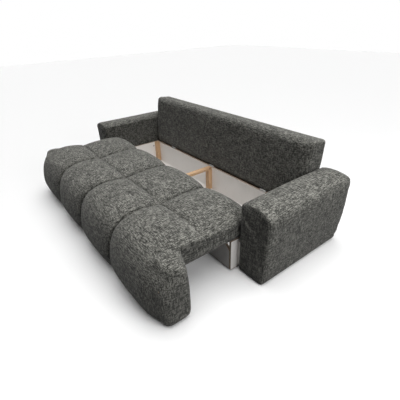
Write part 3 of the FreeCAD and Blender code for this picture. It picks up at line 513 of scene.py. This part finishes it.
def underside_cloth():
    """Thin spun cloth under the seat."""
    material, tree, shader = new_material("underside_cloth")
    fibres = noise(tree, 300.0, 3.0)
    dots = add(tree, "TexVoronoi", {"Vector": place_in(tree, (1.0, 1.0, 1.0)), "Scale": 600.0,
                                    "Randomness": 0.1}).outputs["Distance"]
    tree.links.new(mix_colour(tree, fibres, (0.010, 0.010, 0.011), (0.034, 0.034, 0.036)),
                   shader.inputs["Base Color"])
    tree.links.new(spread(tree, fibres, 0.3, 0.7, 0.75, 0.95), shader.inputs["Roughness"])
    bump(tree, shader, dots, 0.0005, 0.8)
    return material


def plastic(name, shade):
    material, tree, shader = new_material(name)
    grain = noise(tree, 900.0, 2.0)
    cloud = noise(tree, 20.0, 2.0)
    tree.links.new(mix_colour(tree, cloud, shade, tuple(c * 1.5 for c in shade)),
                   shader.inputs["Base Color"])
    tree.links.new(spread(tree, cloud, 0.3, 0.7, 0.42, 0.58), shader.inputs["Roughness"])
    bump(tree, shader, grain, 0.0002, 0.5)
    return material


def steel(name, shade, low, high):
    material, tree, shader = new_material(name)
    cloud = noise(tree, 90.0, 3.0)
    scratch = noise(tree, 700.0, 1.0, (0.08, 1.0, 1.0))
    tree.links.new(mix_colour(tree, cloud, shade, tuple(c * 0.7 for c in shade)),
                   shader.inputs["Base Color"])
    shader.inputs["Metallic"].default_value = 1.0
    tree.links.new(spread(tree, scratch, 0.3, 0.7, low, high), shader.inputs["Roughness"])
    bump(tree, shader, scratch, 0.0001, 0.4)
    return material


CHENILLE = chenille()
CHIPBOARD = chipboard()
LINING = underside_cloth()
PINE_X = pine("pine_across", 0)
PINE_Y = pine("pine_along", 1)
PINE_Z = pine("pine_upright", 2)
BLACK_PLASTIC = plastic("black_plastic", (0.018, 0.018, 0.019))
GREY_PLASTIC = plastic("grey_plastic", (0.085, 0.085, 0.09))
ZINC = steel("zinc_plate", (0.60, 0.59, 0.57), 0.28, 0.45)
SPRING = steel("spring_wire", (0.32, 0.31, 0.30), 0.35, 0.55)
LAMINATE_SIDE = laminate("laminate_side", 0, BOARD_WHITE)
LAMINATE_FACE = laminate("laminate_face", 1, BOARD_WHITE)
HARDBOARD = laminate("painted_hardboard", 2, HARDBOARD_WHITE, 0.02)

NODE_MATERIALS = {
    "arm_glides": BLACK_PLASTIC, "box_glides": BLACK_PLASTIC, "seat_glides": BLACK_PLASTIC,
    "arm_bolts_and_nuts": ZINC, "box_screws": ZINC, "hinge_back_screws": ZINC,
    "hinge_box_leaves": ZINC, "hinge_back_leaves": ZINC, "hinge_pins": ZINC,
    "castor_forks": ZINC, "castor_axles": ZINC, "seat_springs": SPRING,
    "box_left_side": LAMINATE_SIDE, "box_right_side": LAMINATE_SIDE,
    "box_front_board": LAMINATE_FACE, "box_rear_board": LAMINATE_FACE,
    "box_bottom": HARDBOARD, "seat_lining": LINING,
    "box_corner_posts": PINE_Z, "centre_posts": PINE_Z, "centre_rail": PINE_Y,
    "seat_side_rails": PINE_Y, "seat_stringers": PINE_Y, "seat_cross_rails": PINE_X,
    "back_top_rail": PINE_X, "back_bottom_rail": PINE_X, "back_stiles": PINE_Z,
    "arm_spacers": LAMINATE_FACE,
}
for name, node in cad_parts.items():
    finish = NODE_MATERIALS.get(name, CHIPBOARD)
    if name.startswith("castor_wheel"):
        finish = GREY_PLASTIC
    if not node.material_slots:
        continue
    for slot in node.material_slots:
        slot.material = finish


def finish_soft(obj, body, nodes):
    shade_smooth(obj)
    obj.data.materials.clear()
    obj.data.materials.append(CHENILLE)
    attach(obj, body)
    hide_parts(*nodes)


# Seat

def seat_section(x, drop_rear, drop_front):
    """Closed outline of the seat across its depth, at the level of its seams.

    The drops lower the outline towards the seat's sides, in the rear and in the front row.
    """
    top = SEAM_HEIGHT
    over = curve_through([
        (SEAT_REAR - 0.004, COVER_UNDER),
        (SEAT_REAR, SEAT_UNDER + 0.045),
        (SEAT_REAR - 0.005, top - 0.050 - drop_rear * 0.7),
        (SEAT_REAR - 0.020, top - 0.014 - drop_rear * 0.9),
        (SEAT_REAR - 0.060, top + 0.004 - drop_rear),
        (SEAT_REAR - 0.180, top + 0.010 - drop_rear),
        (MID_SEAM + 0.080, top + 0.006 - drop_rear),
        (MID_SEAM, top - drop_front),
        (MID_SEAM - 0.083, top + 0.012 - drop_front),
        (MID_SEAM - 0.158, top + 0.017 - drop_front * 0.9),
        (MID_SEAM - 0.240, top + 0.003 - drop_front * 0.6),
        (MID_SEAM - 0.306, top - 0.027 - drop_front * 0.3),
        (MID_SEAM - 0.346, top - 0.076),
        (MID_SEAM - 0.372, top - 0.142),
        (MID_SEAM - 0.386, top - 0.222),
        (MID_SEAM - 0.387, 0.100),
        (MID_SEAM - 0.379, 0.048),
        (MID_SEAM - 0.369, ROLL_FOOT + 0.010),
        (MID_SEAM - 0.362, ROLL_FOOT),
    ], 4)
    ceiling = BOARD_HIGH.z + CAVITY_PLAY
    under = [
        (BOARD_LOW.y, ROLL_FOOT), (BOARD_LOW.y, ceiling), (BOARD_HIGH.y, ceiling),
        (BOARD_HIGH.y, ROLL_FOOT), (RECESS - 0.004, ROLL_FOOT), (RECESS, ROLL_FOOT + 0.006),
        (RECESS, COVER_UNDER),
    ]
    return [(x, y, z) for y, z in list(over) + under]


def end_section(x, inset):
    """Closed outline of the roll's free end, drawn in by inset."""
    face = MID_SEAM - 0.370 + inset * 1.05
    rear = ROLL_END_REAR - inset * 0.3
    top = SEAM_HEIGHT + 0.008 - inset * 2.2
    foot = ROLL_FOOT + inset * 0.08
    middle = (face + rear) / 2
    toe = MID_SEAM - 0.362 + inset * 0.75
    line = curve_through([
        (rear - 0.030, foot),
        (rear - 0.006, foot + 0.012),
        (rear, foot + 0.050),
        (rear, top - 0.120),
        (rear - 0.003, top - 0.055),
        (rear - 0.020, top - 0.020),
        (middle + 0.035, top),
        (middle - 0.030, top - 0.004),
        (face + 0.060, top - 0.036),
        (face + 0.030, top - 0.075),
        (face + 0.008, top - 0.150),
        (face, top - 0.220),
        (face * 0.5 + toe * 0.5 - 0.006, foot + 0.085),
        (toe - 0.005, foot + 0.034),
        (toe, foot),
    ], 4)
    return [(x, y, z) for y, z in line]


def seat_base():
    """The seat at the level of its seams: mattress, roll and the roll's free ends."""
    # Place across the seat, and the drops of the rear and the front row there
    edge = [(0.860, 0.0, 0.0), (0.916, 0.006, 0.004), (0.950, 0.014, 0.009),
            (0.973, 0.026, 0.016), (0.986, 0.036, 0.022), (SEAT_HALF, 0.044, 0.027)]
    places = [(-x, rear, front) for x, rear, front in reversed(edge)] + [(0.0, 0.0, 0.0)] + edge
    body = loft("seat_base", [seat_section(*place) for place in places])
    # Place across the seat, and how far the end's outline is drawn in there
    tips = [(SEAT_HALF - 0.003, 0.0), (SEAT_HALF + 0.045, 0.003),
            (ROLL_TIP - 0.040, 0.009), (ROLL_TIP - 0.016, 0.024), (ROLL_TIP - 0.004, 0.040),
            (ROLL_TIP, 0.056)]
    right = loft("right_end", [end_section(x, inset) for x, inset in tips])
    left = loft("left_end", [end_section(-x, inset) for x, inset in reversed(tips)])
    cavity = board_cavity()
    for end in (right, left):
        cut = end.modifiers.new("cut", "BOOLEAN")
        cut.object = cavity
        cut.operation = "DIFFERENCE"
        cut.solver = "EXACT"
        apply_modifiers(end)
    bpy.data.objects.remove(cavity)
    vertices = []
    faces = []
    for part in (body, right, left):
        first = len(vertices)
        vertices += [tuple(v.co) for v in part.data.vertices]
        faces += [tuple(first + i for i in p.vertices) for p in part.data.polygons]
        bpy.data.objects.remove(part)
    return make_object("seat_cover", vertices, faces)


def board_cavity():
    """Space round the roll's base board and castors, open to the floor."""
    low = -0.02
    high = BOARD_HIGH.z + CAVITY_PLAY
    ring = [(BOARD_LOW.y, low), (BOARD_HIGH.y, low), (BOARD_HIGH.y, high), (BOARD_LOW.y, high)]
    return loft("cavity", [[(x, y, z) for y, z in ring] for x in (-BOARD_HIGH.x, BOARD_HIGH.x)])


def column_swell(x, edge_places, edge_values):
    """Height share across the seat: zero on the column seams."""
    reach = np.abs(x)
    inner = swell(reach / COLUMN)
    outer = swell(np.minimum((reach - COLUMN) / COLUMN, 0.5))
    outer = outer * np.interp(reach, edge_places, edge_values)
    return np.where(reach < COLUMN, inner, outer)


def seam_distance(points):
    """Distance to the nearest column seam, and to the seam between the rows."""
    column = np.minimum(np.abs(points[:, 0]), np.abs(np.abs(points[:, 0]) - COLUMN))
    return column, np.abs(points[:, 1] - MID_SEAM)


def snap_to_seams(points, skin):
    """Puts the points nearest to a seam right on it."""
    reach = SEAT_MESH * 0.52
    for seam in (-COLUMN, 0.0, COLUMN):
        near = skin & (np.abs(points[:, 0] - seam) < reach)
        points[near, 0] = seam
    near = (skin & (points[:, 2] > SEAM_HEIGHT - SEAM_ZONE)
            & (np.abs(points[:, 1] - MID_SEAM) < reach))
    points[near, 1] = MID_SEAM


def seat_skin(points, normals):
    """Which points belong to the tufted skin and not to an underside or a hidden wall."""
    y, z = points[:, 1], points[:, 2]
    faces_up = normals[:, 2] > 0.25
    faces_front = normals[:, 1] < -0.15
    top = faces_up & (z > TOP_LOWEST)
    rear = (y > SEAT_REAR - REAR_DEPTH) & (z > SEAT_UNDER + REAR_FOOT)
    front = faces_front & (y < MID_SEAM - FRONT_REACH) & (z > ROLL_FOOT + SKIN_FOOT)
    return top | rear | front


def puff_seat(obj):
    """Raises the tufts between their seams, and gives back which points are skin."""
    points = get_points(obj)
    normals = get_normals(obj)
    skin = seat_skin(points, normals)
    snap_to_seams(points, skin)
    x, y, z = points.T
    row = y - MID_SEAM
    rear_share = column_swell(x, (0.80, 0.916, 0.973, SEAT_HALF), (1.0, 0.80, 0.5, 0.25))
    front_share = column_swell(x, (0.80, 0.916, 0.973, SEAT_HALF, 1.05, ROLL_TIP),
                               (1.0, 0.90, 0.78, 0.66, 0.30, 0.0))
    rise = TUFT_RISE - SEAM_ARCH
    droop = 0.12                    # share of its height that a rear tuft loses at the rear
    rear_fall = 1.0 - droop * smoothstep(SEAT_REAR - 0.090, SEAT_REAR - 0.005, y)
    rear_crown = 0.17               # from the seam to where a tuft is at its full height
    front_crown = 0.13
    foot_share = 0.25               # share of its height that the roll keeps at its foot
    overhang = 0.006                # how far the front tufts lean over the rows' seam
    rear_rise = swell(np.clip(row, 0, rear_crown) / (2 * rear_crown))
    rear_height = rear_share * (SEAM_ARCH + rise * rear_rise) * rear_fall
    front_rise = swell(np.clip(-row, 0, front_crown) / (2 * front_crown))
    foot = foot_share + (1.0 - foot_share) * smoothstep(0.0, 0.15, z)
    front_height = front_share * (SEAM_ARCH + (rise - 0.002) * front_rise) * foot
    height = np.where(row > 0, rear_height, front_height) * skin
    points += normals * height[:, None]
    lean = np.where(row < 0, smoothstep(-0.07, -0.012, row), 0.0) * front_share * skin
    points[:, 1] += overhang * lean
    set_points(obj, points)
    return skin


def stapled_edge(points):
    """The lower edge of the mattress's cover, before it is relaxed."""
    return ((points[:, 1] > RECESS - STAPLE_DEPTH)
            & (points[:, 2] < COVER_UNDER + STAPLE_HEIGHT)
            & (np.abs(points[:, 0]) < SEAT_HALF + STAPLE_SIDE))


def held_cloth(points, normals, skin):
    """Points of the seat's cover that are sewn, stapled, hidden or run along the arms."""
    reach = np.abs(points[:, 0])
    y, z = points[:, 1], points[:, 2]
    column, between = seam_distance(points)
    sewn = skin & ((column < ON_SEAM) | ((between < ON_SEAM) & (z > ROW_SEAM_LOWEST)))
    side = (reach > SEAT_HALF - SIDE_DEPTH) & (y > ROLL_END_REAR - SIDE_OVERLAP)
    hidden = ~skin & ~((reach > SEAT_HALF) & (z > END_LOWEST))
    low = z < ROLL_FOOT + FOOT_ZONE
    faces_rear = normals[:, 1] > 0.8
    parked = faces_rear & (y < ROLL_END_REAR + PARKED_DEPTH)
    return sewn | hidden | low | side | parked


def build_seat():
    obj = seat_base()
    remesh(obj, SEAT_MESH)
    relax(obj, SEAT_RELAX, kept=stapled_edge(get_points(obj)))
    skin = puff_seat(obj)
    held = held_cloth(get_points(obj), get_normals(obj), skin)
    inflate(obj, held, SEAT_PRESSURE, SEAT_CAP)
    sew_grooves(obj)
    clear_arms(obj)
    names = ["seat_rear_tuft_%d_cover" % k for k in range(1, 5)]
    names += ["seat_front_tuft_%d_cover" % k for k in range(1, 5)]
    names += ["roll_rear_cover"]
    made = split(obj, seat_labels(obj), names)
    for number in range(1, 5):
        rear = made["seat_rear_tuft_%d_cover" % number]
        finish_soft(rear, "seat", ["seat_rear_tuft_%d" % number])
        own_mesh(rear)
        nodes = ["seat_front_tuft_%d" % number]
        if number == 1:
            nodes.append("roll_left_end")
        if number == 4:
            nodes.append("roll_right_end")
        finish_soft(made["seat_front_tuft_%d_cover" % number], "seat", nodes)
    finish_soft(made["roll_rear_cover"], "seat", ["roll_rear_pad"])


def seat_labels(obj):
    """0 to 3 for the rear tufts' faces, 4 to 7 for the front ones, 8 for the roll's back."""
    facing = face_normals(obj)
    x, y, z = face_middles(obj).T
    labels = np.full(len(x), -1)
    edges = (-math.inf, -COLUMN, 0.0, COLUMN, math.inf)
    for number in range(4):
        mine = (x > edges[number]) & (x < edges[number + 1])
        labels[mine & (y > MID_SEAM)] = number
        labels[mine & (y < MID_SEAM)] = 4 + number
    back_wall = ((y > BOARD_HIGH.y - BACK_WALL_DEPTH) & (y < RECESS + 0.01)
                 & (z < SEAT_UNDER + 0.004))
    upright = facing[:, 2] < 0.6
    labels[back_wall & (np.abs(x) < SEAT_HALF - BACK_WALL_SIDE) & upright] = 8
    return labels


def clear_arms(obj):
    """Behind the roll's free ends, the seat stays flat where it runs along the arms."""
    points = get_points(obj)
    behind = points[:, 1] > ROLL_END_REAR + PARKED_DEPTH
    limit = SEAT_HALF + SEAT_ARM_PLAY
    points[behind, 0] = np.clip(points[behind, 0], -limit, limit)
    set_points(obj, points)


def sew_grooves(obj):
    """One subdivision, then the sewn groove along the bottom of each valley."""
    subdivide(obj)
    points = get_points(obj)
    normals = get_normals(obj)
    skin = seat_skin(points, normals)
    column, between = seam_distance(points)
    sharpness = 0.8
    columns = np.clip(1.0 - column / GROOVE_HALF, 0.0, 1.0) ** sharpness
    rows = np.clip(1.0 - between / GROOVE_HALF, 0.0, 1.0) ** sharpness
    rows *= ((np.abs(points[:, 0]) < SEAT_HALF - GROOVE_END)
             & (points[:, 2] > SEAM_HEIGHT - SEAM_ZONE))
    depth = np.maximum(columns, rows) * skin * (points[:, 2] > ROLL_FOOT + SKIN_FOOT)
    points -= normals * (GROOVE * depth)[:, None]
    set_points(obj, points)


# Arms

def build_arm(side):
    sign = 1 if side == "right" else -1
    obj = copy_of("arm_%s_cover" % side, "arm_%s_upholstery" % side)
    remesh(obj, ARM_MESH)
    relax(obj, PAD_RELAX, kept=get_points(obj)[:, 2] < ARM_LOW.z + 0.003)
    grow(obj, ARM_GROWTH)
    points = get_points(obj)
    reach = points[:, 0] * sign
    hollow = ((reach > ARM_LOW.x + HOLLOW_INNER) & (reach < ARM_LOW.x + HOLLOW_OUTER)
              & (points[:, 1] > ARM_LOW.y + HOLLOW_FRONT)
              & (points[:, 1] < ARM_HIGH.y - HOLLOW_REAR)
              & (points[:, 2] < ARM_HIGH.z - HOLLOW_TOP))
    inner_face = reach < ARM_LOW.x + 0.006
    low = points[:, 2] < ARM_LOW.z + 0.012
    inflate(obj, hollow | inner_face | low, PAD_PRESSURE, PAD_CAP)
    keep_above_floor(obj)
    subdivide(obj)
    points = get_points(obj)
    points[:, 0] = np.maximum(points[:, 0] * sign, ARM_LOW.x - ARM_FACE_PLAY) * sign
    set_points(obj, points)
    finish_soft(obj, "base", ["arm_%s_cover" % side])


def keep_above_floor(obj):
    points = get_points(obj)
    points[:, 2] = np.maximum(points[:, 2], FLOOR_PLAY)
    set_points(obj, points)


# Backrest

def build_back():
    obj = copy_of("back_pad", "back_cushion")
    remesh(obj, BACK_MESH)
    relax(obj, PAD_RELAX)
    grow(obj, BACK_GROWTH)
    points = get_points(obj)
    normals = get_normals(obj)
    ends = np.abs(points[:, 0]) > BACK_HIGH.x - 0.012
    low = normals[:, 2] < -0.5
    inflate(obj, ends | low, PAD_PRESSURE, PAD_CAP)
    subdivide(obj)
    points = get_points(obj)
    limit = BACK_HIGH.x + BACK_ARM_PLAY
    points[:, 0] = np.clip(points[:, 0], -limit, limit)
    set_points(obj, points)
    finish_soft(obj, "backrest", ["back_pad"])


build_seat()
for side in ("left", "right"):
    build_arm(side)
build_back()


# Floor, light and camera

def seen_rays(tree):
    """1 where the camera sees the surface, also through a reflection or glass."""
    rays = add(tree, "LightPath").outputs
    mirrored = math_node(tree, "MAXIMUM", rays["Is Glossy Ray"], rays["Is Transmission Ray"])
    return math_node(tree, "MAXIMUM", rays["Is Camera Ray"], mirrored)


def build_floor():
    """A wide floor that looks white and throws little light back at the object."""
    reach = 14.0
    floor = make_object("floor", [(-reach, -reach, 0), (reach, -reach, 0),
                                  (reach, reach, 0), (-reach, reach, 0)], [(0, 1, 2, 3)])
    material, tree, shader = new_material("floor_white")
    shade = mix_colour(tree, seen_rays(tree), (0.09, 0.09, 0.09), (0.98, 0.98, 0.98))
    matt = add(tree, "BsdfDiffuse", {"Color": shade})
    tree.links.new(matt.outputs[0], tree.nodes["Material Output"].inputs["Surface"])
    tree.nodes.remove(shader)
    floor.data.materials.append(material)


def build_world():
    world = bpy.data.worlds.new("studio")
    scene.world = world
    world.use_nodes = True
    tree = world.node_tree
    ground = tree.nodes["Background"]
    ground.inputs["Color"].default_value = (1.0, 1.0, 1.0, 1.0)
    strength = spread(tree, seen_rays(tree), 0.0, 1.0, 0.03, 1.0)
    tree.links.new(strength, ground.inputs["Strength"])


def build_lights():
    over = bpy.data.lights.new("over", "SUN")
    over.energy = 2.6
    over.angle = math.radians(72)
    place_lamp(over, (0.0, 0.0, 4.0), (-0.04, 0.10, 1.0))
    left = bpy.data.lights.new("left", "SUN")
    left.energy = 0.55
    left.angle = math.radians(60)
    place_lamp(left, (-3.0, 0.0, 3.0), (-1.0, 0.34, 0.95))
    side = bpy.data.lights.new("side", "AREA")
    side.energy = 48.0
    side.size = 1.6
    place_lamp(side, (3.4, 0.1, 1.5), (1.0, 0.1, 0.5))


def place_lamp(light, place, towards):
    lamp = bpy.data.objects.new(light.name, light)
    lamp.location = place
    lamp.rotation_euler = Vector(towards).to_track_quat("Z", "Y").to_euler()
    scene.collection.objects.link(lamp)


def build_camera():
    azimuth = math.radians(CAMERA_AZIMUTH)
    elevation = math.radians(CAMERA_ELEVATION)
    roll = math.radians(CAMERA_ROLL)
    back = Vector((math.sin(azimuth) * math.cos(elevation),
                   -math.cos(azimuth) * math.cos(elevation), math.sin(elevation)))
    level = Vector((math.cos(azimuth), math.sin(azimuth), 0.0))
    upright = back.cross(level)
    right = math.cos(roll) * level + math.sin(roll) * upright
    up = -math.sin(roll) * level + math.cos(roll) * upright
    data = bpy.data.cameras.new("camera")
    data.sensor_width = SENSOR
    data.lens = CAMERA_LENS
    camera = bpy.data.objects.new("camera", data)
    turn = Matrix((right, up, back)).transposed().to_4x4()
    camera.matrix_world = Matrix.Translation(CAMERA_PLACE) @ turn
    scene.collection.objects.link(camera)
    scene.camera = camera


build_floor()
build_world()
build_lights()
build_camera()
scene.view_settings.view_transform = "Standard"
